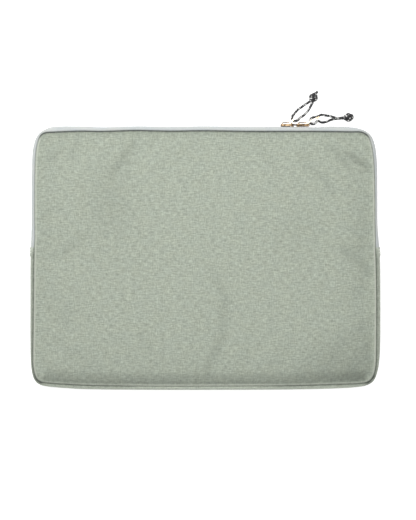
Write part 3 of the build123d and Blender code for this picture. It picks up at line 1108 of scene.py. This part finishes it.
def coil_mesh(name, indices, front_half):
    """A wound nylon filament along the edge of one tape."""
    normal = OUTLINE["normal"][indices]
    middle = OUTLINE["at"][indices] + normal * (OUTLINE["bulge"][indices] - COIL_INSET)[:, None]
    length = np.arange(len(indices)) * (OUTLINE["total"] / len(OUTLINE["along"]))
    turns = int(round(length[-1] / COIL_PITCH))
    s = np.linspace(0, length[-1], turns * COIL_STEPS + 1)
    phase = np.linspace(0, turns * 2 * PI, len(s)) + (PI if front_half else 0.0)
    sign = 1 if front_half else -1
    up = MID_Z + sign * (COIL_OFF + COIL_TALL * np.cos(phase))
    depth = COIL_DEEP * np.sin(phase)
    centre = np.stack([np.interp(s, length, middle[:, k]) for k in range(2)], axis=1)
    across = np.stack([np.interp(s, length, normal[:, k]) for k in range(2)], axis=1)
    line = np.column_stack([centre + across * depth[:, None], up])
    return loft(name, tube_rings(line, COIL_THREAD, 6), np.append(s, s[-1]), np.arange(7) * 0.4)


def stitch_mesh(i, edge, length, start):
    """One stitch at sample i of the seam, from a distance along the edge of the gusset's cross-section."""
    along = np.linspace(start, start + STITCH_LENGTH, 8)
    out = np.interp(along, length, edge[:, 0]) - 0.35 + 0.4 * np.sin(np.linspace(0, PI, 8))
    up = np.interp(along, length, edge[:, 1])
    line = np.column_stack([OUTLINE["at"][i] + out[:, None] * OUTLINE["normal"][i], up])
    size = STITCH_THREAD * np.sqrt(np.clip(1 - np.linspace(-1, 1, 8) ** 4, 0.06, 1))
    uv = np.arange(9) * 0.3
    return loft("stitch", tube_rings(line, size[:, None, None], 8), uv, uv)


def make_stitches(material):
    """Two rows of thread across each folded end of the gusset."""
    stitches = []
    for side in (-1, 1):
        for row_y in STITCH_ROWS_Y:
            i = sample_where(y=row_y, side=side)
            angle = np.linspace(0.28, PI - 0.28, 240)
            bulge = OUTLINE["bulge"][i] + FOLD_PUFF
            edge = shoulder(bulge, seam_height(row_y) + 0.5, BACK_SEAM_Z - 0.5, angle)
            length = path_lengths(edge)
            pitch = STITCH_LENGTH + STITCH_GAP
            for k in range(int(length[-1] / pitch)):
                stitches.append(stitch_mesh(i, edge, length, k * pitch + 0.3))
    mesh = merged("gusset_stitches", stitches)
    piece = add_object("gusset_stitches", mesh, material, "sleeve")
    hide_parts("end_stitching")


# ---- assembly


def add_front_layer(mesh, name, material, nodes, declare):
    """Add a front layer: a fixed lower part, and a left and a right part."""
    for part, side in zip(split_front(mesh, name), ("lower", "left", "right")):
        half = "lower" if side == "lower" else "upper"
        piece = add_object(part.name, part, material, "sleeve" if side == "lower" else None)
        declare(piece, side)
        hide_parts(*(f"{node}_{half}" for node in nodes))
        if side != "lower":
            lift_with_mouth(piece)


def make_pads(canvas):
    """The front and back pads, each canvas over foam."""
    grid = panel_grid(PANEL_STEP)
    x, y = grid.reshape(-1, 2).T
    d, north = seam_distance(grid.reshape(-1, 2))
    seam = seam_height(y)
    wide = 2.6 + 9.5 * smoothstep(104.0, 120.0, -y)
    wrinkles = 0.0
    wrinkles = spread(simulated_wrinkles()) * smoothstep(0.0, 4.0, d)
    outer = seam + (FRONT_Z - seam) * rolled(d, wide) + front_relief(x, y, d) + wrinkles
    outer = np.minimum(outer, HIGHEST_Z)
    inner = np.minimum(FRONT_INNER_Z, seam - PAD_LEAST)
    _, lost = front_folds(x, y)
    front = panel_mesh("front_panel", grid, outer, inner, panel_marks(d, north, x, y, lost))
    add_front_layer(front, "front_panel", canvas, ("front_shell", "front_foam"),
                    lambda piece, side: piece)
    back_outer = BACK_SEAM_Z * (1 - rolled(d, 4.0)) + 0.05
    back_inner = np.maximum(BACK_INNER_Z, back_outer + PAD_LEAST)
    back = panel_mesh("back_panel", grid, back_outer, back_inner, panel_marks(d, north, x, y))
    piece = add_object("back_panel", back, canvas, "sleeve")
    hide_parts("back_shell", "back_foam")


def make_linings(lining):
    """The front and back pads' linings, sewn in flat."""
    grid = panel_grid(LINING_STEP)
    x, y = grid.reshape(-1, 2).T
    inset, _ = seam_distance(grid.reshape(-1, 2))
    wave = 0.12 * np.sin(x / 9.0) * np.cos(y / 13.0) * smoothstep(1.0, 12.0, inset)
    back = panel_mesh("back_lining_cloth", grid, *(wave + z for z in LINING_Z["back"]))
    piece = add_object("back_lining_cloth", back, lining, "sleeve")
    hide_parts("back_lining")
    front = panel_mesh("front_lining_cloth", grid, *(wave + z for z in LINING_Z["front"]))
    add_front_layer(front, "front_lining_cloth", lining, ("front_lining",),
                    lambda piece, side: piece)


def add_run(mesh, material, node, side=None):
    """Add a piece that runs along the seam: fixed if it has no side; a piece of the mouth's lip, which has a
    side, rides on no body.
    """
    piece = add_object(mesh.name, mesh, material, None if side else "sleeve")
    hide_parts(node)
    if side:
        lift_with_mouth(piece)


def make_gusset(canvas, lining, tape, coil, binding):
    """Everything that runs round the seam."""
    total = OUTLINE["total"]
    mouth = MOUTH_MIDDLE - total if MOUTH_MIDDLE > total / 2 else MOUTH_MIDDLE
    bottom = stretch(RIGHT_END, LEFT_END)
    zip_run = stretch(LEFT_END - total, RIGHT_END)
    front_strip = strip_section(BINDING_Z["front"])
    back_strip = strip_section(BINDING_Z["back"])
    band = sweep_mesh("gusset_canvas", bottom, canvas_section, creased=True)
    add_run(band, canvas, "gusset_band")
    inside = sweep_mesh("gusset_lining_cloth", bottom, lining_section)
    add_run(inside, lining, "gusset_lining")
    rear = sweep_mesh("tape_rear", zip_run, tape_section(False), creased=True)
    add_run(rear, tape, "zip_tape_back")
    add_run(coil_mesh("teeth_rear", zip_run, False), coil, "zip_coil_back")
    for side, run in (("left", stretch(LEFT_END - total, mouth)), ("right", stretch(mouth, RIGHT_END))):
        fore = sweep_mesh(f"tape_fore_{side}", run, tape_section(True), creased=True)
        add_run(fore, tape, "zip_tape_front", side)
        add_run(coil_mesh(f"teeth_fore_{side}", run, True), coil, "zip_coil_front", side)
        strip = sweep_mesh(f"binding_fore_{side}", run, front_strip)
        add_run(strip, binding, "binding_front_upper", side)
    strip = sweep_mesh("binding_fore_lower", bottom, front_strip)
    add_run(strip, binding, "binding_front_lower")
    strip = sweep_mesh("binding_rear", stretch(0.0, total), back_strip)
    add_run(strip, binding, "binding_back")


def paint_node(name, material):
    """Give a CAD node a new material."""
    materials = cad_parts[name].data.materials
    for i in range(len(materials)):
        materials[i] = material
    if not materials:
        materials.append(material)


def make_pulls():
    """Both cords with their knots."""
    cord = cord_material()
    for side in ("left", "right"):
        piece, line = make_cord(side, cord)
        knot = make_knot(side, cord)


def paint_brass():
    """Antique brass on the sliders, cleaner brass on the links."""
    slider = brass_material("brass_slider", grey(112, 88, 62), grey(188, 164, 132), rough=0.40, dark_blotches=0.92)
    link = brass_material("brass_link", grey(176, 156, 124), grey(226, 212, 186), rough=0.10, dark_blotches=0.25)
    for side in ("left", "right"):
        paint_node(f"slider_{side}", slider)
        paint_node(f"puller_{side}", link)


def main():
    make_camera()
    make_pulls()
    make_studio()
    cool, warm = grey(138, 147, 141), grey(147, 151, 135)
    panel_canvas = canvas_material("canvas_heather", grey(143, 150, 137), cool, warm)
    # the gusset's canvas is the panel's cloth painted lighter, as painted light that the band catches
    band_canvas_painted_lighter = canvas_material("canvas_gusset_painted_lighter", grey(167, 174, 160), cool, warm)
    lining = lining_material()
    make_pads(panel_canvas)
    make_linings(lining)
    make_gusset(band_canvas_painted_lighter, lining, tape_material(), coil_material(), binding_material())
    make_stitches(thread_material())
    paint_brass()


main()
